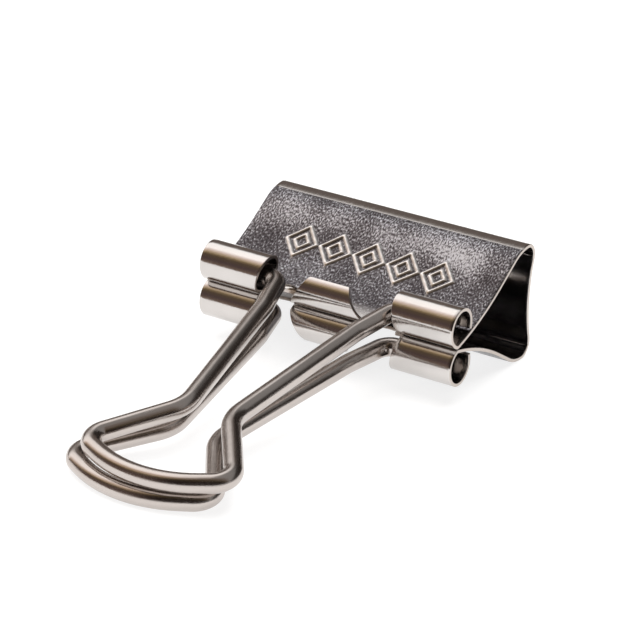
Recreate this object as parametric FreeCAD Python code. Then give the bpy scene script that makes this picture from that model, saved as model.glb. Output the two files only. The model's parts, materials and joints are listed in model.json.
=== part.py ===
"""Spring-steel binder clip lying on its side, with its two wire handles folded forward.

Frame: +X along the clip's width, +Y from the handles towards the spine, +Z up.
The origin is on the surface that the clip lies on, under the middle of its box.
The clip's own middle plane, which the two jaws mirror about, is parallel to that surface.
Sections are drawn as (y, z) points measured from the line where the jaws meet.
"""
import FreeCAD, Part
import math
import os

# Driving dimensions, in millimetres and degrees
WIDTH = 25.0              # clip width, the trade size of the clip
SHEET = 0.30              # thickness of the spring strip
SPINE_HEIGHT = 10.75      # outside height over the two corner bends
LIP_GAP = 0.08            # daylight left between the closed lips
WIRE_RADIUS = 0.82        # handle wire, 1.64 mm across

# Jaw section, walked back from the lip: a long hollow curve, a run, the shoulder, the corner
LIP_Y = 0.15              # where the jaw ends and the lip bend starts
LIP_ANGLE = 14.0          # slope of the jaw at its lip
HOLLOW_RADIUS = 25.0
JAW_ANGLE = 32.0          # slope of the jaw's straight run
SHOULDER_RADIUS = 4.4
CORNER_RADIUS = 1.2       # middle of the sheet
SPINE_LEAN = 16.0         # how far the corner bends past square, so that the spine is hollow
FLEX_GAP = 27.0           # arc of each corner left open, for the jaw to close when it opens

# Rolled tubes and centre tongue on each lip
LIP_BEND_RADIUS = 0.35
LIP_BEND_TURN = 36.0
TUBE_RADIUS = 1.63        # middle of the sheet
TUBE_TURN = 268.0
TUBE_INNER_END = 6.35     # from the clip's centre line, at the top of the tube
TUBE_LIP_END = 7.1        # the same at the lip: the tube's inner end slants
TONGUE_RADIUS = 1.45
TONGUE_TURN = 135.0
TONGUE_HALF_WIDTH = 3.6   # at the lip
TONGUE_TIP_HALF = 1.9     # at its free end
TONGUE_CORNER = 0.5       # rounding of its two free corners
NOTCH_DEPTH = 1.5         # how far a notch is cut back behind the lip

# Wire handles, drawn flat: across the clip, and out along the handle from its feet
FOOT_END = 11.2           # how far along its tube a foot reaches
ROOT_HALF = 5.7
ROOT_RADIUS = 1.4
KNEE_HALF = 4.5           # where each leg starts to spread towards its foot
KNEE_REACH = 4.4
KNEE_RADIUS = 6.0
WAIST_HALF = 2.15
WAIST_REACH = 20.2
WAIST_RADIUS = 3.5
FLARE_ANGLE = 34.0        # the loop's sides, from the handle's length
LOOP_CORNER_RADIUS = 1.6
TIP_SLOPE = 27.0          # end of the loop, from square
TIP_RADIUS = 10.4
HANDLE_REACH = 29.9       # feet to the middle of the wire at the tip
SKEW = 1.1                # each handle's small slant in its tubes, one each way
SIDE_PLAY = 0.2           # each handle's shift along its tubes, one each way
UPPER_PIVOT = (0.65, 1.60)    # foot axis in the upper tubes
LOWER_PIVOT = (0.60, -1.60)   # foot axis in the lower tubes
FLOOR_GAP = 0.03          # under the lower handle's tip
REST_GAP = 0.06           # between the two handles where the upper one lies on the lower

# Cutters, which only have to pass right through the sheet
CUTTER_START = -2.0       # below the clip's middle plane, and in front of the lip
CUTTER_HEIGHT = 4.0
CUTTER_REACH = 20.0       # past the jaw's whole length
TONGUE_BASE_HEIGHT = 3.5  # of the cutter that keeps the tongue's base at full width
TONGUE_BASE_END = 3.0     # the tongue's curl lies in front of this

# Worked-out places
HALF_WIDTH = WIDTH / 2
HALF_HEIGHT = SPINE_HEIGHT / 2
LIP_Z = LIP_GAP / 2 + SHEET / 2 + LIP_BEND_RADIUS * (1 - math.cos(math.radians(LIP_ANGLE)))


def unit(angle):
    """Unit vector in the section, at an angle from +y towards +z."""
    return math.cos(math.radians(angle)), math.sin(math.radians(angle))


def step_along(point, heading, step, share=1.0):
    """Point and heading after a share of one step: ("run", length) or ("bend", radius, turn)."""
    y, z = point
    if step[0] == "run":
        c, s = unit(heading)
        return (y + c * step[1] * share, z + s * step[1] * share), heading
    radius, turn = step[1], step[2] * share
    side = math.copysign(90.0, step[2])
    c0, s0 = unit(heading + side)
    c1, s1 = unit(heading + turn + side)
    return (y + radius * (c0 - c1), z + radius * (s0 - s1)), heading + turn


def offset_point(point, heading, distance):
    """Point moved square to its heading, to the left when the distance is positive."""
    c, s = unit(heading + 90.0)
    return FreeCAD.Vector(0, point[0] + c * distance, point[1] + s * distance)


def strip_section(point, heading, steps):
    """Face of one bent strip of sheet, whose middle line starts at a point and takes the steps."""
    stations = []
    for step in steps:
        middle = step_along(point, heading, step, 0.5)
        end = step_along(point, heading, step)
        stations.append(((point, heading), middle, end, step[0]))
        point, heading = end
    sides = []
    for distance in (SHEET / 2, -SHEET / 2):
        edges = []
        for start, middle, end, kind in stations:
            corners = [offset_point(*place, distance) for place in (start, middle, end)]
            if kind == "run":
                edges.append(Part.LineSegment(corners[0], corners[2]).toShape())
            else:
                edges.append(Part.Arc(*corners).toShape())
        sides.append(edges)
    caps = []
    for place in (stations[0][0], stations[-1][2]):
        ends = [offset_point(*place, distance) for distance in (SHEET / 2, -SHEET / 2)]
        caps.append(Part.LineSegment(*ends).toShape())
    edges = sides[0] + [caps[1]] + sides[1][::-1] + [caps[0]]
    return Part.Face(Part.Wire(Part.__sortEdges__(edges)))


def across(section, x_low, x_high):
    """Section extruded across the clip between two places on its width."""
    moved = section.translated(FreeCAD.Vector(x_low, 0, 0))
    return moved.extrude(FreeCAD.Vector(x_high - x_low, 0, 0))


def fuse_all(solids):
    """One solid from several that share faces."""
    return solids[0].multiFuse(solids[1:]).removeSplitter()


# Steps of the jaw from its lip to the end of its corner bend
HOLLOW_STEP = ("bend", HOLLOW_RADIUS, JAW_ANGLE - LIP_ANGLE)
hollow_end = step_along((LIP_Y, LIP_Z), LIP_ANGLE, HOLLOW_STEP)[0]
shoulder_rise = SHOULDER_RADIUS * (1 - math.cos(math.radians(JAW_ANGLE)))
run_rise = HALF_HEIGHT - SHEET / 2 - hollow_end[1] - shoulder_rise
RUN_LENGTH = run_rise / math.sin(math.radians(JAW_ANGLE))
JAW_STEPS = [HOLLOW_STEP, ("run", RUN_LENGTH), ("bend", SHOULDER_RADIUS, -JAW_ANGLE)]

corner_start = (LIP_Y, LIP_Z)
corner_heading = LIP_ANGLE
for jaw_step in JAW_STEPS:
    corner_start, corner_heading = step_along(corner_start, corner_heading, jaw_step)
HINGE_Y = corner_start[0]                     # centre of the upper corner bend, the jaw's hinge
HINGE_Z = corner_start[1] - CORNER_RADIUS
CORNER_TURN = 90.0 + SPINE_LEAN
KEPT_TURN = (CORNER_TURN - FLEX_GAP) / 2      # arc left on each side of the open part
SPINE_RADIUS = (HINGE_Z - CORNER_RADIUS * math.sin(math.radians(SPINE_LEAN))) \
    / math.sin(math.radians(SPINE_LEAN))


def make_spine():
    """Hollow back of the clip, with the rear part of both corner bends."""
    heading = KEPT_TURN - CORNER_TURN
    c, s = unit(heading + 90.0)
    start = (HINGE_Y + CORNER_RADIUS * c, HINGE_Z + CORNER_RADIUS * s)
    steps = [("bend", CORNER_RADIUS, -KEPT_TURN), ("bend", SPINE_RADIUS, 2 * SPINE_LEAN),
             ("bend", CORNER_RADIUS, -KEPT_TURN)]
    return across(strip_section(start, heading, steps), -HALF_WIDTH, HALF_WIDTH)


def rolled_section(radius, turn):
    """Whole jaw section, with its lip rolled outwards by a turn."""
    point, heading = (LIP_Y, LIP_Z), LIP_ANGLE + 180.0
    lip_steps = [("bend", LIP_BEND_RADIUS, -LIP_BEND_TURN), ("bend", radius, -turn)]
    for step in lip_steps:
        point, heading = step_along(point, heading, step)
    back = [("bend", radius, turn), ("bend", LIP_BEND_RADIUS, LIP_BEND_TURN)]
    corner = ("bend", CORNER_RADIUS, -KEPT_TURN)
    return strip_section(point, heading + 180.0, back + JAW_STEPS + [corner])


def tongue_outline():
    """Prism seen from the front: the tongue's tapering sides and rounded free corners."""
    low, mid = CUTTER_START, LIP_Z + SHEET
    top = LIP_Z + 2 * TONGUE_RADIUS
    reach = CUTTER_REACH
    corners = [(-TONGUE_HALF_WIDTH, low), (TONGUE_HALF_WIDTH, low), (TONGUE_HALF_WIDTH, mid),
               (TONGUE_TIP_HALF, top), (-TONGUE_TIP_HALF, top), (-TONGUE_HALF_WIDTH, mid)]
    points = [FreeCAD.Vector(x, -reach / 2, z) for x, z in corners]
    prism = Part.Face(Part.makePolygon(points + points[:1])).extrude(FreeCAD.Vector(0, reach, 0))
    free = [edge for edge in prism.Edges if edge.BoundBox.ZMin > top - SHEET]
    free = [edge for edge in free if edge.BoundBox.YLength > reach / 2]
    return prism.makeFillet(TONGUE_CORNER, free)


def make_tube(side):
    """Rolled tube on one side of the lip, whose inner end slants outwards down to the lip."""
    inner, outer = sorted((side * TUBE_INNER_END, side * HALF_WIDTH))
    tube = across(rolled_section(TUBE_RADIUS, TUBE_TURN), inner, outer)
    low, high, reach = CUTTER_START, LIP_Z + 2 * TUBE_RADIUS, 5 * TUBE_RADIUS
    slope = (TUBE_LIP_END - TUBE_INNER_END) / (high - LIP_Z)
    spots = [(0.0, low), (TUBE_LIP_END + slope * (LIP_Z - low), low), (TUBE_INNER_END, high),
             (0.0, high)]
    points = [FreeCAD.Vector(side * x, -reach / 2, z) for x, z in spots]
    wedge = Part.Face(Part.makePolygon(points + points[:1])).extrude(FreeCAD.Vector(0, reach, 0))
    return tube.cut(wedge)


def make_jaw():
    """Upper jaw: plate, two lip tubes with their notches, centre tongue, front of the corner."""
    plain_steps = JAW_STEPS + [("bend", CORNER_RADIUS, -KEPT_TURN)]
    plain = strip_section((LIP_Y, LIP_Z), LIP_ANGLE, plain_steps)
    tubes = [make_tube(-1), make_tube(1)]
    plates = [across(plain, -HALF_WIDTH, -TUBE_INNER_END),
              across(plain, TUBE_INNER_END, HALF_WIDTH)]
    for side in (-1, 1):
        inner, outer = sorted((side * TONGUE_HALF_WIDTH, side * TUBE_INNER_END))
        notch_radius = (outer - inner) / 2
        root_y = LIP_Y + NOTCH_DEPTH - notch_radius
        slot = Part.makeBox(outer - inner, root_y - CUTTER_START, CUTTER_HEIGHT,
                            FreeCAD.Vector(inner, CUTTER_START, CUTTER_START))
        root = Part.makeCylinder(notch_radius, CUTTER_HEIGHT,
                                 FreeCAD.Vector((inner + outer) / 2, root_y, CUTTER_START))
        plates.append(across(plain, inner, outer).cut(slot).cut(root))
    tongue = across(rolled_section(TONGUE_RADIUS, TONGUE_TURN),
                    -TONGUE_HALF_WIDTH, TONGUE_HALF_WIDTH)
    root_y = LIP_Y + NOTCH_DEPTH - SHEET
    beside_root = Part.makeBox(WIDTH, CUTTER_REACH, TONGUE_BASE_HEIGHT,
                               FreeCAD.Vector(-HALF_WIDTH, root_y, CUTTER_START))
    behind = Part.makeBox(WIDTH, CUTTER_REACH, CUTTER_REACH,
                          FreeCAD.Vector(-HALF_WIDTH, TONGUE_BASE_END, CUTTER_START))
    tongue = tongue.common(fuse_all([tongue_outline(), beside_root, behind]))
    return fuse_all(tubes + plates + [tongue])


def rounded_wire(points, radii):
    """Path through flat points, each inner one rounded by its own radius."""
    edges = []
    last = points[0]
    for before, corner, after, radius in zip(points, points[1:], points[2:], radii):
        to_before = (before - corner).normalize()
        to_after = (after - corner).normalize()
        half = to_before.getAngle(to_after) / 2
        start = corner + to_before * (radius / math.tan(half))
        end = corner + to_after * (radius / math.tan(half))
        centre = corner + (to_before + to_after).normalize() * (radius / math.sin(half))
        middle = centre + (corner - centre).normalize() * radius
        edges.append(Part.LineSegment(last, start).toShape())
        edges.append(Part.Arc(start, middle, end).toShape())
        last = end
    edges.append(Part.LineSegment(last, points[-1]).toShape())
    return Part.Wire(edges)


def make_handle(pivot, tip_z, side):
    """Bent wire with a foot in each tube of one jaw, drooping until its tip is at a height."""
    pivot_y, pivot_z = pivot
    tip_corner = HANDLE_REACH + TIP_RADIUS * (1 / math.cos(math.radians(TIP_SLOPE)) - 1)
    flare, tip = math.tan(math.radians(FLARE_ANGLE)), math.tan(math.radians(TIP_SLOPE))
    loop_half = (WAIST_HALF + flare * (tip_corner - WAIST_REACH)) / (1 + flare * tip)
    half = [(FOOT_END, 0.0), (ROOT_HALF, 0.0), (KNEE_HALF, KNEE_REACH),
            (WAIST_HALF, WAIST_REACH), (loop_half, tip_corner - loop_half * tip)]
    outline = half + [(0.0, tip_corner)] + [(-x, reach) for x, reach in reversed(half)]
    radii = [ROOT_RADIUS, KNEE_RADIUS, WAIST_RADIUS, LOOP_CORNER_RADIUS]
    path = rounded_wire([FreeCAD.Vector(x, -reach, 0) for x, reach in outline],
                        radii + [TIP_RADIUS] + radii[::-1])
    circle = Part.Circle(FreeCAD.Vector(FOOT_END, 0, 0), FreeCAD.Vector(1, 0, 0), WIRE_RADIUS)
    wire = path.makePipeShell([Part.Wire([circle.toShape()])], True, False)
    droop = math.degrees(math.asin((pivot_z - tip_z) / HANDLE_REACH))
    wire.rotate(FreeCAD.Vector(0, 0, 0), FreeCAD.Vector(0, 0, 1), side * SKEW)
    wire.rotate(FreeCAD.Vector(0, 0, 0), FreeCAD.Vector(1, 0, 0), droop)
    wire.translate(FreeCAD.Vector(side * SIDE_PLAY, pivot_y, pivot_z))
    return wire


LOWER_TIP_Z = -HALF_HEIGHT + FLOOR_GAP + WIRE_RADIUS
UPPER_TIP_Z = LOWER_TIP_Z + 2 * WIRE_RADIUS + REST_GAP

upper_jaw = make_jaw()
parts = {
    "spine": make_spine(),
    "upper_jaw": upper_jaw,
    "lower_jaw": upper_jaw.mirror(FreeCAD.Vector(0, 0, 0), FreeCAD.Vector(0, 0, 1)),
    "upper_handle": make_handle(UPPER_PIVOT, UPPER_TIP_Z, 1),
    "lower_handle": make_handle(LOWER_PIVOT, LOWER_TIP_Z, -1),
}

# Stand the clip on its surface, with the origin under the middle of its box
box = Part.makeCompound(list(parts.values())).BoundBox
SHIFT = FreeCAD.Vector(0, -(box.YMin + box.YMax) / 2, HALF_HEIGHT)
os.makedirs("parts", exist_ok=True)
for name, shape in parts.items():
    placed = shape.translated(SHIFT)
    placed.exportStep(os.path.join("parts", name + ".step"))
    size = placed.BoundBox
    print(name, placed.ShapeType, "solids", len(placed.Solids), "valid", placed.isValid(),
          "volume %.2f" % placed.Volume,
          "y %.2f..%.2f z %.2f..%.2f" % (size.YMin, size.YMax, size.ZMin, size.ZMax))
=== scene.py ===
import json
import math
import bmesh
import bpy
from mathutils import Matrix, Vector


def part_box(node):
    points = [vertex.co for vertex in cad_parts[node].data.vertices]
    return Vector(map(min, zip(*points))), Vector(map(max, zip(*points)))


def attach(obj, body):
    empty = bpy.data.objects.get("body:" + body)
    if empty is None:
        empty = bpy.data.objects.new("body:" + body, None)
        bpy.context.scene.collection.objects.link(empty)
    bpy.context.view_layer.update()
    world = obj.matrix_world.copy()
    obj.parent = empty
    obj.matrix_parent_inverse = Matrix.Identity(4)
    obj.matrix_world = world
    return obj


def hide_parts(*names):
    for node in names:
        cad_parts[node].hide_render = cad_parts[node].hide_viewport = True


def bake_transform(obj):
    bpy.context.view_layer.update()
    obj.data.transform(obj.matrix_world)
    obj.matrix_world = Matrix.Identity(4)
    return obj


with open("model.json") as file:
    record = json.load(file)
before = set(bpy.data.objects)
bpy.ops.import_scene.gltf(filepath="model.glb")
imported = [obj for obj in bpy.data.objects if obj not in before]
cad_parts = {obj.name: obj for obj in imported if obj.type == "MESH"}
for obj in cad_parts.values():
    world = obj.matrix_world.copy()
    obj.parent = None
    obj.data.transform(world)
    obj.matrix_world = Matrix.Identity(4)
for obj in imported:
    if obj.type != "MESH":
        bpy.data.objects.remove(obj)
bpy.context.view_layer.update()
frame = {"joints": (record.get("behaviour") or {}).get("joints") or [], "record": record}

# ---- Spring strip, upper half ----------------------------------------------------------------
# One strip of hardened spring steel is bent round a hollow spine into two jaws, and nickel plated.
# Each lip is rolled outwards into two tubes, for the handle's feet, and a stop tongue between them.
# The strip is drawn in millimetres as its middle layer, walked from the lip, then given thickness.
MM = 0.001
NEAR = 0.001               # places closer than this, in millimetres, count as the same
SHEET = 0.30
HOLLOW_RADIUS = 25.0
HOLLOW_TURN = 18.0
JAW_ANGLE = 32.0
JAW_RUN = 2.453
SHOULDER_RADIUS = 4.4
CORNER_RADIUS = 1.2
SPINE_LEAN = 16.0
SEAM_LEAN = 1.0            # last degree of the spine, before its middle, in finer rows
LIP_BEND_RADIUS = 0.35
LIP_BEND_TURN = 36.0
TUBE_RADIUS = 1.63
TUBE_TURN = 268.0
TUBE_INNER_END = 6.35      # from the clip's centre line, at the top of the tube
TUBE_LIP_END = 7.1         # the same at the lip: the tube's inner end slants
TONGUE_RADIUS = 1.45
TONGUE_TURN = 135.0
TONGUE_HALF_WIDTH = 3.6
TONGUE_TIP_HALF = 1.9
TONGUE_CORNER = 0.5
NOTCH_ARC_START = 0.25     # where a notch's straight sides turn into its round root
NOTCH_FADE = 2.4           # rows of the mesh are drawn together from here to the notch's root
EDGE_ROUND = 0.045         # rollover along the sheared edges
EDGE_CORNER = 40.0         # sharpest turn, in degrees, that a sheared edge keeps unrounded
LIP_ROWS = 0.08            # spacing of the mesh's rows round the lip bend and the rolled parts
ROLL_ROWS = 0.13
ORNAMENT_START = 4.85      # band of the jaw that is stamped, measured from the lip
ORNAMENT_MIDDLE = 6.7
ORNAMENT_END = 8.6
ORNAMENT_HALF = 8.7
LOZENGE_PITCH = 3.4
LOZENGES_BESIDE = 2        # on each side of the middle one
LOZENGE_HALVES = ((1.5, 1.7), (0.72, 0.82))    # across and along, outer and inner outline
RIDGE_HALF = 0.18          # half the width of an outline's ridge
RIDGE_HIGHLIGHT_GAIN = 1.5      # spreads the painted highlight from a ridge's crest to its flanks
RIDGE_HEIGHT = 0.11
LIP_HIGHLIGHT_LENGTH = 1.8             # a painted highlight lightens the plate for this far behind the lip
LIP_HIGHLIGHT_MOST = 0.75
CORNER_HIGHLIGHT_START = 11.75       # painted highlight again from here, over a short fade, to the spine
CORNER_HIGHLIGHT_FADE = 0.06
PAINTED_SHEEN_MIDDLE = 9.6         # painted sheen: a paler band painted along the plate, behind the stamping
PAINTED_SHEEN_HALF = 1.7
PAINTED_SHEEN_EVEN = 0.3           # its strength everywhere, and that of its patches
PAINTED_SHEEN_PATCHES = ((5.5, 4.5, 0.7), (-5.0, 1.8, 0.3))    # place across, half width, strength
# Tones of the plate's grain: random grain, whose dark tones are painted shade for the plate's dark
# reflection
GRAIN_AND_PAINTED_SHADE_TONES = ((0.52, (0.036, 0.031, 0.034)), (0.66, (0.070, 0.062, 0.066)),
               (0.76, (0.18, 0.17, 0.18)), (0.88, (0.55, 0.55, 0.58)))
FROST_ROUGHNESS = 0.34
FROST_CLOUDS = 0.35        # how much the clouds, and the painted sheen band, lift the grain
PAINTED_SHEEN_LIFT = 0.18
# Colour of the stamped ridges' painted highlight
RIDGE_HIGHLIGHT_TONE = (0.97, 0.94, 0.92)
STREAK_SPAN = (0.3, 0.7)   # of the streaks' noise, for the least and the most roughness

joints = {joint["name"]: joint for joint in frame["joints"]}
hinge = Vector(joints["upper_jaw_open"]["pos_m"]) / MM
mid_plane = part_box("spine")[0].z / MM / 2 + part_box("spine")[1].z / MM / 2
half_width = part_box("upper_jaw")[1].x / MM
spine_radius = (hinge.z - mid_plane) / math.sin(math.radians(SPINE_LEAN)) - CORNER_RADIUS


def heading_vector(heading):
    """Unit vector in the section, from +Y towards +Z."""
    return Vector((0, math.cos(math.radians(heading)), math.sin(math.radians(heading))))


def step_back(point, heading, radius, turn):
    """Start of a bend that ends at a point with a heading, and the heading there."""
    to_centre = heading_vector(heading + math.copysign(90, turn)) * radius
    from_centre = -heading_vector(heading - turn + math.copysign(90, turn)) * radius
    return point + to_centre + from_centre, heading - turn


def walk_on(bm, edge, place, radius, turn, spacing):
    """Extends a sheet from its edge round a bend, or straight on by turn when radius is 0.

    place is (point, heading, along): the edge's place in the section, and its place on the blank.
    """
    point, heading, along = place
    blank = bm.verts.layers.float_vector["blank"]
    length = radius * math.radians(abs(turn)) if radius else turn
    steps = max(1, math.ceil(length / spacing - 0.01))
    centre = point + heading_vector(heading + math.copysign(90, turn)) * radius
    direction = math.copysign(1, along[1])
    for step in range(1, steps + 1):
        if radius:
            edge = bmesh.ops.spin(bm, geom=edge, cent=centre, axis=(1, 0, 0), steps=1,
                                  angle=math.radians(turn) / steps)["geom_last"]
        else:
            lines = [item for item in edge if isinstance(item, bmesh.types.BMEdge)]
            edge = bmesh.ops.extrude_edge_only(bm, edges=lines)["geom"]
            edge = [item for item in edge if not isinstance(item, bmesh.types.BMFace)]
            row = [item for item in edge if isinstance(item, bmesh.types.BMVert)]
            bmesh.ops.translate(bm, verts=row, vec=heading_vector(heading) * length / steps)
        for item in edge:
            if isinstance(item, bmesh.types.BMVert):
                item[blank] = (item[blank].x, along[0] + direction * length * step / steps, 0)
    if radius:
        point = centre - heading_vector(heading + turn + math.copysign(90, turn)) * radius
        heading += turn
    else:
        point = point + heading_vector(heading) * length
    return edge, (point, heading, (along[0] + direction * length, direction))


def stations(marks, spacings):
    """Places across the strip: every mark, with even steps of at most the spacing in between."""
    places = [marks[0]]
    for low, high, spacing in zip(marks, marks[1:], spacings):
        count = math.ceil((high - low) / spacing)
        places += [low + (high - low) * i / count for i in range(1, count + 1)]
    return places


def lozenge_ridge(x, along):
    """Height of the stamped ornament: five outlined lozenges in a row, each with one inside it."""
    place = max(-LOZENGES_BESIDE, min(LOZENGES_BESIDE, round(x / LOZENGE_PITCH)))
    x -= LOZENGE_PITCH * place
    height = 0.0
    for half_x, half_along in LOZENGE_HALVES:
        outline = abs(x) / half_x + abs(along - ORNAMENT_MIDDLE) / half_along - 1
        distance = abs(outline) * half_x * half_along / math.hypot(half_x, half_along)
        if distance < RIDGE_HALF:
            height = RIDGE_HEIGHT * (1 + math.cos(math.pi * distance / RIDGE_HALF)) / 2
    return height


def tongue_half(height):
    """Half width of the tongue at a height above the lip's middle layer."""
    base, top = SHEET, 2 * TONGUE_RADIUS
    share = max(0.0, (height - base) / (top - base))
    half = TONGUE_HALF_WIDTH + (TONGUE_TIP_HALF - TONGUE_HALF_WIDTH) * share
    over = height - (top - TONGUE_CORNER)
    if over > 0:
        half -= TONGUE_CORNER - math.sqrt(TONGUE_CORNER ** 2 - over ** 2)
    return half


def plain_or_lip_highlight(along):
    """Share of plain nickel over the plate's painted dark: 1 on the rolled parts, then a painted
    highlight fading behind the lip.
    """
    return 1.0 if along < 0 else LIP_HIGHLIGHT_MOST * max(0.0, 1 - along / LIP_HIGHLIGHT_LENGTH)


def painted_sheen(x, along):
    """Strength of the painted sheen: a paler band painted on the plate behind the stamping, as a
    painted reflection.
    """
    side = PAINTED_SHEEN_EVEN
    for middle, half, strength in PAINTED_SHEEN_PATCHES:
        side += strength * math.exp(-((x - middle) / half) ** 2)
    return side * math.exp(-((along - PAINTED_SHEEN_MIDDLE) / PAINTED_SHEEN_HALF) ** 2)


def strip_half(stamped):
    """Upper half of the strip, from its lip to the middle of the spine, as a closed mesh in mm.

    Two layers go with it: blank is each vertex's place on the flat blank, and the other holds three
    painted-light masks: plain nickel or painted highlight over the plate's painted dark, the
    painted highlight on the stamped ridges by how high they are raised, and the painted sheen.
    """
    bm = bmesh.new()
    blank = bm.verts.layers.float_vector.new("blank")
    painted_light_masks = bm.verts.layers.float_vector.new("painted_light_masks")

    # Lip line, found by walking back from the corner bend, whose centre is the hinge
    jaw_end = hinge + Vector((0, 0, CORNER_RADIUS))
    point, heading = step_back(jaw_end, 0.0, SHOULDER_RADIUS, -JAW_ANGLE)
    point -= heading_vector(heading) * JAW_RUN
    hollow_centre = point + heading_vector(heading + 90) * HOLLOW_RADIUS
    lip, lip_heading = step_back(point, heading, HOLLOW_RADIUS, HOLLOW_TURN)
    fine, wide = (0.085 if stamped else 0.12), 0.4
    marks = [-half_width, -ORNAMENT_HALF, -TUBE_LIP_END, -TUBE_INNER_END, -TONGUE_HALF_WIDTH,
             TONGUE_HALF_WIDTH, TUBE_INNER_END, TUBE_LIP_END, ORNAMENT_HALF, half_width]
    across = fine if stamped else wide
    columns = stations(marks, [wide, across, across, fine, across, fine, across, across, wide])
    vertex = bm.verts.new((columns[0], lip.y, lip.z))
    vertex[blank] = (columns[0], 0, 0)
    line = [vertex]
    for x in columns[1:]:
        made = bmesh.ops.extrude_vert_indiv(bm, verts=[vertex])
        vertex = made["verts"][0]
        vertex.co.x = x
        vertex[blank] = (x, 0, 0)
        line += made["edges"] + [vertex]

    # Jaw plate, corner bend and half of the spine
    def hollow_part(length):
        return HOLLOW_RADIUS, math.degrees(length / HOLLOW_RADIUS)

    hollow_length = HOLLOW_RADIUS * math.radians(HOLLOW_TURN)
    over_run = ORNAMENT_END - hollow_length
    stamped_row = fine if stamped else 0.5
    edge, place = line, (lip, lip_heading, (0, 1))
    # Each stretch has its radius and turn, or 0 and its length, and the spacing of its rows
    for (radius, turn), spacing in (
            (hollow_part(NOTCH_ARC_START), NOTCH_ARC_START),
            (hollow_part(NOTCH_FADE - NOTCH_ARC_START), 0.27),
            (hollow_part(ORNAMENT_START - NOTCH_FADE), 0.5),
            (hollow_part(hollow_length - ORNAMENT_START), stamped_row),
            ((0, over_run), stamped_row),
            ((0, JAW_RUN - over_run), 0.6),
            ((SHOULDER_RADIUS, -JAW_ANGLE), 0.28),
            ((CORNER_RADIUS, -90 - SPINE_LEAN), 0.11),
            ((spine_radius, SPINE_LEAN - SEAM_LEAN), 0.5),
            ((spine_radius, SEAM_LEAN), 0.06)):
        edge, place = walk_on(bm, edge, place, radius, turn, spacing)

    # Notches beside the tongue, with round roots
    def in_notch(x):
        return TONGUE_HALF_WIDTH + NEAR < abs(x) < TUBE_INNER_END - NEAR

    notch_middle = (TONGUE_HALF_WIDTH + TUBE_INNER_END) / 2
    notch_radius = (TUBE_INNER_END - TONGUE_HALF_WIDTH) / 2
    waste = [face for face in bm.faces
             if in_notch(face.calc_center_median().x)
             and max(v[blank].y for v in face.verts) < NOTCH_ARC_START + NEAR]
    bmesh.ops.delete(bm, geom=waste, context="FACES")
    for vertex in bm.verts:
        x, along, _ = vertex[blank]
        if in_notch(x) and along < NOTCH_FADE:
            root = NOTCH_ARC_START + math.sqrt(notch_radius ** 2 - (abs(x) - notch_middle) ** 2)
            share = (along - NOTCH_ARC_START) / (NOTCH_FADE - NOTCH_ARC_START)
            new_along = root + share * (NOTCH_FADE - root)
            turn = (new_along - along) / HOLLOW_RADIUS
            bmesh.ops.rotate(bm, verts=[vertex], cent=hollow_centre,
                             matrix=Matrix.Rotation(turn, 3, "X"))
            vertex[blank] = (x, new_along, 0)

    # Rolled tubes and tongue
    def lip_edges(low, high):
        lines = [e for e in bm.edges
                 if all(abs(v[blank].y) < NEAR and low - NEAR < v[blank].x < high + NEAR
                        for v in e.verts)]
        return lines + list({v for e in lines for v in e.verts})

    for low, high, radius, turn in (
            (-half_width, -TUBE_LIP_END, TUBE_RADIUS, TUBE_TURN),
            (TUBE_LIP_END, half_width, TUBE_RADIUS, TUBE_TURN),
            (-TONGUE_HALF_WIDTH, TONGUE_HALF_WIDTH, TONGUE_RADIUS, TONGUE_TURN)):
        edge, place = lip_edges(low, high), (lip, lip_heading + 180, (0, -1))
        edge, place = walk_on(bm, edge, place, LIP_BEND_RADIUS, -LIP_BEND_TURN, LIP_ROWS)
        walk_on(bm, edge, place, radius, -turn, ROLL_ROWS)
    for vertex in bm.verts:
        if vertex[blank].y < 0 and abs(vertex[blank].x) < TONGUE_HALF_WIDTH + NEAR:
            vertex.co.x *= tongue_half(vertex.co.z - lip.z) / TONGUE_HALF_WIDTH
        elif vertex[blank].y < 0 and abs(vertex[blank].x) < ORNAMENT_HALF:
            rise = (vertex.co.z - lip.z) / (2 * TUBE_RADIUS)
            near_end = (ORNAMENT_HALF - abs(vertex.co.x)) / (ORNAMENT_HALF - TUBE_LIP_END)
            vertex.co.x -= math.copysign((TUBE_LIP_END - TUBE_INNER_END) * rise * near_end,
                                         vertex.co.x)

    # Outer face up, stamping, painted-light masks, and thickness
    bmesh.ops.recalc_face_normals(bm, faces=bm.faces[:])
    plate = min(bm.faces, key=lambda f: (f.calc_center_median() - jaw_end).length)
    if plate.normal.z < 0:
        bmesh.ops.reverse_faces(bm, faces=bm.faces[:])
    bm.normal_update()
    if stamped:
        for vertex in bm.verts:
            x, along, _ = vertex[blank]
            height = lozenge_ridge(x, along)
            vertex.co += vertex.normal * height
            # The ridges' painted highlight, from how high they are raised
            vertex[painted_light_masks] = (0, min(1.0, RIDGE_HIGHLIGHT_GAIN * height / RIDGE_HEIGHT), 0)
        bm.normal_update()
    # Painted-light masks: plain nickel or painted highlight behind the lip, and the painted sheen
    for vertex in bm.verts:
        x, along, _ = vertex[blank]
        vertex[painted_light_masks] = (plain_or_lip_highlight(along), vertex[painted_light_masks].y, painted_sheen(x, along))
    inwards = [vertex.normal * vertex.calc_shell_factor() * SHEET / 2 for vertex in bm.verts]
    for vertex, offset in zip(bm.verts, inwards):
        vertex.co -= offset
    middle_verts = set(bm.verts)
    bmesh.ops.solidify(bm, geom=bm.faces[:], thickness=-SHEET)
    for face in bm.faces:
        face.smooth = True
        if 0 < sum(v in middle_verts for v in face.verts) < len(face.verts):
            face.material_index = 1

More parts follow.
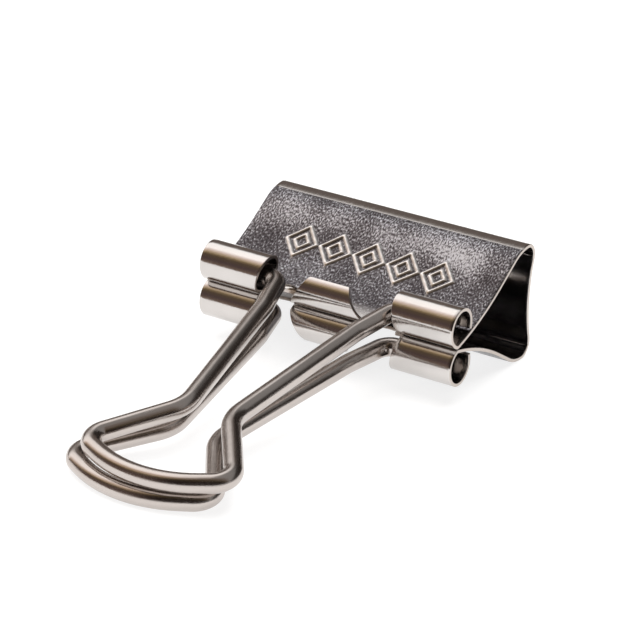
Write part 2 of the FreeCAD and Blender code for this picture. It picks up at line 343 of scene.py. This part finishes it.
    # Sheared edges get their small rollover, except at the spine's middle, where the halves meet
    bm.normal_update()
    rim_edges = []
    for e in bm.edges:
        kinds = {f.material_index for f in e.link_faces}
        corner = kinds == {1} and e.calc_face_angle(0) > math.radians(EDGE_CORNER)
        at_seam = all(abs(v.co.z - mid_plane) < NEAR for v in e.verts)
        if at_seam:
            e.smooth = False
        elif kinds == {0, 1} or corner:
            rim_edges.append(e)
    bmesh.ops.bevel(bm, geom=rim_edges, offset=EDGE_ROUND, offset_type="OFFSET", segments=2,
                    profile=0.5, affect="EDGES", clamp_overlap=True, material=-1)
    for face in bm.faces:
        face.smooth = True
    return bm


def make_piece(name, bm, materials):
    """Object in metres from a mesh in millimetres."""
    bmesh.ops.scale(bm, vec=(MM, MM, MM), verts=bm.verts)
    mesh = bpy.data.meshes.new(name)
    bm.to_mesh(mesh)
    bm.free()
    piece = bpy.data.objects.new(name, mesh)
    bpy.context.scene.collection.objects.link(piece)
    for material in materials:
        mesh.materials.append(material)
    return piece


def plating_group():
    """Shared look of bright nickel plate: fine grain, rubbed clouds and faint streaks.

    Each is noise on the piece's blank, in millimetres, drawn out along the way it was rolled.
    """
    group = bpy.data.node_groups.new("nickel_plate", "ShaderNodeTree")
    sockets = group.interface
    sockets.new_socket(name="Place", in_out="INPUT", socket_type="NodeSocketVector")
    for label, value in (("Grain per mm", 5.0), ("Streaks per mm", 3.0)):
        socket = sockets.new_socket(name=label, in_out="INPUT", socket_type="NodeSocketFloat")
        socket.default_value = value
    for label in ("Grain", "Streaks", "Clouds"):
        sockets.new_socket(name=label, in_out="OUTPUT", socket_type="NodeSocketFloat")
    nodes, links = group.nodes, group.links
    enter, leave = nodes.new("NodeGroupInput"), nodes.new("NodeGroupOutput")
    for label, stretch, scale_from, detail in (
            ("Grain", (1.0, 0.45, 1.0), "Grain per mm", 2.0),
            ("Streaks", (1.0, 0.03, 1.0), "Streaks per mm", 3.0),
            ("Clouds", (0.25, 0.18, 0.25), None, 3.0)):
        mapping = nodes.new("ShaderNodeMapping")
        mapping.inputs["Scale"].default_value = stretch
        noise = nodes.new("ShaderNodeTexNoise")
        noise.inputs["Detail"].default_value = detail
        noise.inputs["Scale"].default_value = 1.0
        links.new(enter.outputs["Place"], mapping.inputs["Vector"])
        links.new(mapping.outputs["Vector"], noise.inputs["Vector"])
        if scale_from:
            links.new(enter.outputs[scale_from], noise.inputs["Scale"])
        links.new(noise.outputs["Fac"], leave.inputs[label])
    return group


nickel_plate = plating_group()


def nickel(name, attribute, tones, roughness, grain, streaks, bump):
    """Nickel surface laid out on a piece's own attribute.

    tones are the two colours that the clouds mix, roughness its lowest and highest values, and
    bump the grain's height in millimetres and the streaks' share of it.
    """
    material = bpy.data.materials.new(name)
    material.use_nodes = True
    nodes, links = material.node_tree.nodes, material.node_tree.links
    shader = nodes["Principled BSDF"]
    shader.inputs["Metallic"].default_value = 1.0
    place = nodes.new("ShaderNodeAttribute")
    place.attribute_name = attribute
    plate = nodes.new("ShaderNodeGroup")
    plate.node_tree = nickel_plate
    plate.inputs["Grain per mm"].default_value = grain
    plate.inputs["Streaks per mm"].default_value = streaks
    links.new(place.outputs["Vector"], plate.inputs["Place"])
    colour = nodes.new("ShaderNodeMix")
    colour.data_type = "RGBA"
    colour.inputs["A"].default_value = (*tones[0], 1)
    colour.inputs["B"].default_value = (*tones[1], 1)
    links.new(plate.outputs["Clouds"], colour.inputs["Factor"])
    links.new(colour.outputs["Result"], shader.inputs["Base Color"])
    rough = nodes.new("ShaderNodeMapRange")
    rough.inputs["From Min"].default_value, rough.inputs["From Max"].default_value = STREAK_SPAN
    rough.inputs["To Min"].default_value, rough.inputs["To Max"].default_value = roughness
    links.new(plate.outputs["Streaks"], rough.inputs["Value"])
    links.new(rough.outputs["Result"], shader.inputs["Roughness"])
    relief = nodes.new("ShaderNodeMath")
    relief.operation = "MULTIPLY_ADD"
    relief.inputs[1].default_value = bump[1]
    links.new(plate.outputs["Streaks"], relief.inputs[0])
    links.new(plate.outputs["Grain"], relief.inputs[2])
    raise_it = nodes.new("ShaderNodeBump")
    raise_it.inputs["Strength"].default_value = 1.0
    raise_it.inputs["Distance"].default_value = bump[0] * MM
    links.new(relief.outputs["Value"], raise_it.inputs["Height"])
    links.new(raise_it.outputs["Normal"], shader.inputs["Normal"])
    return material


strip_nickel = nickel("strip_nickel", "blank", ((0.55, 0.52, 0.50), (0.68, 0.65, 0.63)),
                      roughness=(0.08, 0.18), grain=8.5, streaks=4.0, bump=(0.007, 0.3))
edge_nickel = nickel("edge_nickel", "blank", ((0.46, 0.40, 0.36), (0.62, 0.56, 0.51)),
                     roughness=(0.25, 0.45), grain=9.0, streaks=9.0, bump=(0.012, 1.0))


def frost_with_painted_light(material):
    """Paints the strip's plate dark, as painted shade for its dark reflection, with a sparkling
    frosted grain, and paints highlights on its stamped ridges, behind the lip, at the corner bend
    and in a paler sheen band.
    """
    nodes, links = material.node_tree.nodes, material.node_tree.links
    shader = nodes["Principled BSDF"]
    plate = next(node for node in nodes if node.type == "GROUP")
    painted_light_masks = nodes.new("ShaderNodeAttribute")
    painted_light_masks.attribute_name = "painted_light_masks"
    masks = nodes.new("ShaderNodeSeparateXYZ")
    links.new(painted_light_masks.outputs["Vector"], masks.inputs["Vector"])
    along = nodes.new("ShaderNodeSeparateXYZ")
    links.new(plate.inputs["Place"].links[0].from_socket, along.inputs["Vector"])
    # Painted highlight line at the corner bend, towards the spine
    corner_highlight = nodes.new("ShaderNodeMapRange")
    corner_highlight.inputs["From Min"].default_value = CORNER_HIGHLIGHT_START
    corner_highlight.inputs["From Max"].default_value = CORNER_HIGHLIGHT_START + CORNER_HIGHLIGHT_FADE
    links.new(along.outputs["Y"], corner_highlight.inputs["Value"])
    # Where the plate shows plain nickel or a painted highlight instead of its painted dark
    plain_or_highlighted = nodes.new("ShaderNodeMath")
    plain_or_highlighted.operation = "MAXIMUM"
    links.new(corner_highlight.outputs["Result"], plain_or_highlighted.inputs[0])
    links.new(masks.outputs["X"], plain_or_highlighted.inputs[1])
    # Random clouds, and the painted sheen band, lift the grain towards paler tones
    clouds_and_painted_sheen = nodes.new("ShaderNodeMath")
    clouds_and_painted_sheen.operation = "MULTIPLY_ADD"
    clouds_and_painted_sheen.inputs[1].default_value = FROST_CLOUDS
    links.new(plate.outputs["Clouds"], clouds_and_painted_sheen.inputs[0])
    painted_sheen_on_grain = nodes.new("ShaderNodeMath")
    painted_sheen_on_grain.operation = "MULTIPLY_ADD"
    painted_sheen_on_grain.inputs[1].default_value = PAINTED_SHEEN_LIFT
    links.new(masks.outputs["Z"], painted_sheen_on_grain.inputs[0])
    links.new(plate.outputs["Grain"], painted_sheen_on_grain.inputs[2])
    links.new(painted_sheen_on_grain.outputs["Value"], clouds_and_painted_sheen.inputs[2])
    # Grain tones: the dark ones are painted shade, the spread between them is random grain
    grain_and_painted_dark = nodes.new("ShaderNodeValToRGB")
    links.new(clouds_and_painted_sheen.outputs["Value"], grain_and_painted_dark.inputs["Fac"])
    for index, (place, tone) in enumerate(GRAIN_AND_PAINTED_SHADE_TONES):
        stops = grain_and_painted_dark.color_ramp.elements
        stop = stops[index] if index < 2 else stops.new(place)
        stop.position = place
        stop.color = (*tone, 1)
    tint = shader.inputs["Base Color"].links[0].from_socket
    last = grain_and_painted_dark.outputs["Color"]
    # Plain nickel or painted highlight over the painted dark, then the ridges' painted highlight
    for mask, target in ((plain_or_highlighted.outputs["Value"], tint), (masks.outputs["Y"], None)):
        blend = nodes.new("ShaderNodeMix")
        blend.data_type = "RGBA"
        links.new(mask, blend.inputs["Factor"])
        links.new(last, blend.inputs["A"])
        blend.inputs["B"].default_value = (*RIDGE_HIGHLIGHT_TONE, 1)
        if target:
            links.new(target, blend.inputs["B"])
        last = blend.outputs["Result"]
    links.new(last, shader.inputs["Base Color"])
    polish = nodes.new("ShaderNodeMix")
    links.new(plain_or_highlighted.outputs["Value"], polish.inputs["Factor"])
    polish.inputs["A"].default_value = FROST_ROUGHNESS
    links.new(shader.inputs["Roughness"].links[0].from_socket, polish.inputs["B"])
    links.new(polish.outputs["Result"], shader.inputs["Roughness"])


frost_with_painted_light(strip_nickel)

strip_upper = make_piece("strip_upper_half", strip_half(True), [strip_nickel, edge_nickel])
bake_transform(strip_upper)
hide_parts("spine", "upper_jaw")

# ---- Spring strip, lower half ----------------------------------------------------------------
# The other half of the same strip, plain, mirrored about the clip's middle plane. It joins the
# upper half at the middle of the spine.
lower = strip_half(False)
bmesh.ops.scale(lower, vec=(1, 1, -1), verts=lower.verts)
bmesh.ops.translate(lower, vec=(0, 0, 2 * mid_plane), verts=lower.verts)
bmesh.ops.reverse_faces(lower, faces=lower.faces[:])
strip_lower = make_piece("strip_lower_half", lower, [strip_nickel, edge_nickel])


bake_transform(strip_lower)
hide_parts("lower_jaw")

# ---- Wire handles ------------------------------------------------------------------------------
# Two lengths of drawn spring wire, each bent flat into a narrow waist and a rounded loop, nickel
# plated. Their feet are sprung outwards into the strip's tubes, where they turn.
WIRE_RADIUS = 0.82
FOOT_END = 11.2
ROOT_HALF = 5.7
ROOT_RADIUS = 1.4
KNEE_HALF = 4.5            # where each leg starts to spread towards its foot
KNEE_REACH = 4.4
KNEE_RADIUS = 6.0
WAIST_HALF = 2.15
WAIST_REACH = 20.2
WAIST_RADIUS = 3.5
FLARE_ANGLE = 34.0
LOOP_CORNER_RADIUS = 1.6
TIP_SLOPE = 27.0
TIP_RADIUS = 10.4
HANDLE_REACH = 29.9
SKEW = 1.1
SIDE_PLAY = 0.2
FLOOR_GAP = 0.03
REST_GAP = 0.06
FACETS = 40                # round the wire
END_ROUND = 0.16
BEND_STEP = 4              # degrees of a bend between two rings, and the fewest rings in one
BEND_RINGS_LEAST = 4


def wire_corners():
    """Corners of the handle's flat outline before they are rounded, each with its bend radius."""
    tip_corner = HANDLE_REACH + TIP_RADIUS * (1 / math.cos(math.radians(TIP_SLOPE)) - 1)
    flare, tip = math.tan(math.radians(FLARE_ANGLE)), math.tan(math.radians(TIP_SLOPE))
    loop_half = (WAIST_HALF + flare * (tip_corner - WAIST_REACH)) / (1 + flare * tip)
    half = [((FOOT_END, 0.0), 0.0), ((ROOT_HALF, 0.0), ROOT_RADIUS),
            ((KNEE_HALF, KNEE_REACH), KNEE_RADIUS), ((WAIST_HALF, WAIST_REACH), WAIST_RADIUS),
            ((loop_half, tip_corner - loop_half * tip), LOOP_CORNER_RADIUS)]
    far = [((-x, reach), radius) for (x, reach), radius in reversed(half)]
    return [(Vector((x, -reach, 0)), radius)
            for (x, reach), radius in half + [((0.0, tip_corner), TIP_RADIUS)] + far]


def bend_wire(pivot, tip_height, side):
    """Closed mesh of one handle in mm, drooping from its pivot until its tip is at a height."""
    bm = bmesh.new()
    straight = bm.verts.layers.float_vector.new("straight")
    corners = wire_corners()
    ring = bmesh.ops.create_circle(bm, cap_ends=False, segments=FACETS, radius=WIRE_RADIUS)["verts"]
    for vertex in ring:
        vertex[straight] = (vertex.co.x, 0, vertex.co.y)
    turn_to_x = Matrix.Rotation(math.radians(90), 4, "Y")
    bmesh.ops.transform(bm, matrix=Matrix.Translation(corners[0][0]) @ turn_to_x, verts=ring)
    ring = bm.verts[:] + bm.edges[:]
    along = 0.0

    def mark(ring, along):
        for item in ring:
            if isinstance(item, bmesh.types.BMVert):
                item[straight] = (item[straight].x, along, item[straight].z)

    last = corners[0][0]
    for (before, _), (corner, radius), (after, _) in zip(corners, corners[1:], corners[2:]):
        arrive, leave = (corner - before).normalized(), (after - corner).normalized()
        turn = math.atan2(arrive.cross(leave).z, arrive.dot(leave))
        start = corner - arrive * radius * math.tan(abs(turn) / 2)
        lines = [item for item in ring if isinstance(item, bmesh.types.BMEdge)]
        made = bmesh.ops.extrude_edge_only(bm, edges=lines)["geom"]
        ring = [item for item in made if not isinstance(item, bmesh.types.BMFace)]
        row = [item for item in ring if isinstance(item, bmesh.types.BMVert)]
        bmesh.ops.translate(bm, verts=row, vec=start - last)
        along += (start - last).length
        mark(ring, along)
        square = Vector((-arrive.y, arrive.x, 0)) * math.copysign(1, turn)
        centre = start + square * radius
        steps = max(BEND_RINGS_LEAST, math.ceil(math.degrees(abs(turn)) / BEND_STEP))
        for step in range(steps):
            ring = bmesh.ops.spin(bm, geom=ring, cent=centre, axis=(0, 0, 1), steps=1,
                                  angle=turn / steps)["geom_last"]
            along += radius * abs(turn) / steps
            mark(ring, along)
        last = corner + leave * radius * math.tan(abs(turn) / 2)
    lines = [item for item in ring if isinstance(item, bmesh.types.BMEdge)]
    made = bmesh.ops.extrude_edge_only(bm, edges=lines)["geom"]
    ring = [item for item in made if isinstance(item, bmesh.types.BMVert)]
    bmesh.ops.translate(bm, verts=ring, vec=corners[-1][0] - last)
    mark(ring, along + (corners[-1][0] - last).length)

    ends = bmesh.ops.holes_fill(bm, edges=bm.edges[:])["faces"]
    for face in ends:
        face.material_index = 1
    bmesh.ops.recalc_face_normals(bm, faces=bm.faces[:])
    bmesh.ops.bevel(bm, geom=list({e for face in ends for e in face.edges}), offset=END_ROUND,
                    offset_type="OFFSET", segments=3, profile=0.5, affect="EDGES", material=-1)
    for face in bm.faces:
        face.smooth = len(face.verts) <= 4
    droop = math.asin((pivot.z - tip_height) / HANDLE_REACH)
    placing = Matrix.Translation((side * SIDE_PLAY, pivot.y, pivot.z)) \
        @ Matrix.Rotation(droop, 4, "X") @ Matrix.Rotation(math.radians(side * SKEW), 4, "Z")
    bmesh.ops.transform(bm, matrix=placing, verts=bm.verts)
    return bm


wire_nickel = nickel("wire_nickel", "straight", ((0.47, 0.42, 0.39), (0.61, 0.56, 0.53)),
                     roughness=(0.16, 0.28), grain=2.0, streaks=9.0, bump=(0.006, 1.0))
lower_tip = FLOOR_GAP + WIRE_RADIUS
upper_tip = lower_tip + 2 * WIRE_RADIUS + REST_GAP
for body, tip_height, side in (("upper_handle", upper_tip, 1), ("lower_handle", lower_tip, -1)):
    pivot = Vector(joints[body + "_swing"]["pos_m"]) / MM
    handle = make_piece(body + "_wire", bend_wire(pivot, tip_height, side),
                        [wire_nickel, edge_nickel])
    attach(handle, body)
    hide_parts(body)

# ---- Studio ------------------------------------------------------------------------------------
# A white floor in a soft light tent: one wide white panel overhead and behind the clip, darker
# cloth in front of it and low behind it, and a soft light above that only lights the floor.
CAMERA_AZIMUTH = 30.97
CAMERA_ELEVATION = 24.42
CAMERA_ROLL = 1.87
CAMERA_DISTANCE = 0.2461
CAMERA_SHIFT = (-0.0151, -0.0099)
LENS = 163.1
SENSOR = 36.0
AIM_OFFSET = Vector((0, -0.00015, 0))    # of the camera's target from the lips
FLOOR_SIZE = 4.0
FLOOR_TONE = 0.32
FLOOR_ROUGHNESS = 0.9
FLOOR_GLOW = 0.8
LAMP_SIZE = 0.6
LAMP_POWER = 3.5
LAMP_HEIGHT = 0.5
CURTAIN = (-0.36, -0.12)   # the panel dims between these places across the clip
CURTAIN_DIM = 0.22
TENT = (                   # angle over the clip from the far horizon, in degrees, and its colour
    (0, (0.16, 0.13, 0.115)), (39, (0.17, 0.14, 0.125)), (46, (0.30, 0.27, 0.25)),
    (54, (1.5, 1.49, 1.48)), (88, (1.6, 1.53, 1.49)), (98, (1.1, 0.95, 0.88)),
    (106, (0.85, 0.68, 0.55)), (115, (0.56, 0.43, 0.28)), (122, (0.28, 0.20, 0.11)),
    (132, (0.12, 0.085, 0.055)), (155, (0.10, 0.068, 0.064)), (170, (0.16, 0.11, 0.09)),
    (180, (0.30, 0.22, 0.17)))

bpy.ops.mesh.primitive_plane_add(size=FLOOR_SIZE)
floor = bpy.context.object
floor.name = "floor"
paint = bpy.data.materials.new("floor_white")
paint.use_nodes = True
paint_shader = paint.node_tree.nodes["Principled BSDF"]
paint_shader.inputs["Base Color"].default_value = (*[FLOOR_TONE] * 3, 1)
paint_shader.inputs["Roughness"].default_value = FLOOR_ROUGHNESS
paint_shader.inputs["Emission Color"].default_value = (1, 1, 1, 1)
paint_shader.inputs["Emission Strength"].default_value = FLOOR_GLOW
floor.data.materials.append(paint)

azimuth, elevation = math.radians(CAMERA_AZIMUTH), math.radians(CAMERA_ELEVATION)
towards = Vector((math.sin(azimuth) * math.cos(elevation), -math.cos(azimuth) * math.cos(elevation),
                  math.sin(elevation)))

world = bpy.data.worlds.new("light_tent")
bpy.context.scene.world = world
world.use_nodes = True
nodes, links = world.node_tree.nodes, world.node_tree.links
nodes.clear()
direction = nodes.new("ShaderNodeTexCoord")
parts = nodes.new("ShaderNodeSeparateXYZ")
links.new(direction.outputs["Generated"], parts.inputs["Vector"])
arc = nodes.new("ShaderNodeMath")
arc.operation = "ARCTAN2"
links.new(parts.outputs["Z"], arc.inputs[0])
links.new(parts.outputs["Y"], arc.inputs[1])
share = nodes.new("ShaderNodeMath")
share.operation = "DIVIDE"
share.inputs[1].default_value = math.pi
links.new(arc.outputs["Value"], share.inputs[0])
ramp = nodes.new("ShaderNodeValToRGB")
links.new(share.outputs["Value"], ramp.inputs["Fac"])
for index, (angle, colour) in enumerate(TENT):
    stops = ramp.color_ramp.elements
    stop = stops[index] if index < 2 else stops.new(angle / 180)
    stop.position = angle / 180
    stop.color = (*colour, 1)
seen = nodes.new("ShaderNodeLightPath")
mix = nodes.new("ShaderNodeMixShader")
tent_light, white = nodes.new("ShaderNodeBackground"), nodes.new("ShaderNodeBackground")
links.new(ramp.outputs["Color"], tent_light.inputs["Color"])
curtain = nodes.new("ShaderNodeMapRange")
curtain.inputs["From Min"].default_value, curtain.inputs["From Max"].default_value = CURTAIN
curtain.inputs["To Min"].default_value = 1.0
curtain.inputs["To Max"].default_value = CURTAIN_DIM
links.new(parts.outputs["X"], curtain.inputs["Value"])
links.new(curtain.outputs["Result"], tent_light.inputs["Strength"])
links.new(seen.outputs["Is Camera Ray"], mix.inputs["Fac"])
links.new(tent_light.outputs["Background"], mix.inputs[1])
links.new(white.outputs["Background"], mix.inputs[2])
white.inputs["Color"].default_value = (1, 1, 1, 1)
outlet = nodes.new("ShaderNodeOutputWorld")
links.new(mix.outputs["Shader"], outlet.inputs["Surface"])

overhead = bpy.data.lights.new("overhead", "AREA")
overhead.size = LAMP_SIZE
overhead.energy = LAMP_POWER
overhead_lamp = bpy.data.objects.new("overhead", overhead)
overhead_lamp.location = (0, 0, LAMP_HEIGHT)
overhead_lamp.visible_glossy = False
bpy.context.scene.collection.objects.link(overhead_lamp)

camera_data = bpy.data.cameras.new("camera")
camera_data.sensor_width = SENSOR
camera_data.lens = LENS
camera_data.shift_x, camera_data.shift_y = CAMERA_SHIFT
camera_data.clip_start = 0.01
camera = bpy.data.objects.new("camera", camera_data)
bpy.context.scene.collection.objects.link(camera)
lips = Vector(next(m for m in frame["record"]["mounts"] if m["name"] == "jaw_lips")["pos_m"])
target = lips + AIM_OFFSET
right = Vector((0, 0, 1)).cross(towards).normalized()
up = towards.cross(right)
roll = math.radians(CAMERA_ROLL)
camera_right = right * math.cos(roll) + up * math.sin(roll)
camera_up = up * math.cos(roll) - right * math.sin(roll)
turn = Matrix((camera_right, camera_up, towards)).transposed().to_4x4()
camera.matrix_world = Matrix.Translation(target + towards * CAMERA_DISTANCE) @ turn
bpy.context.scene.camera = camera
bpy.context.scene.view_settings.view_transform = "Standard"
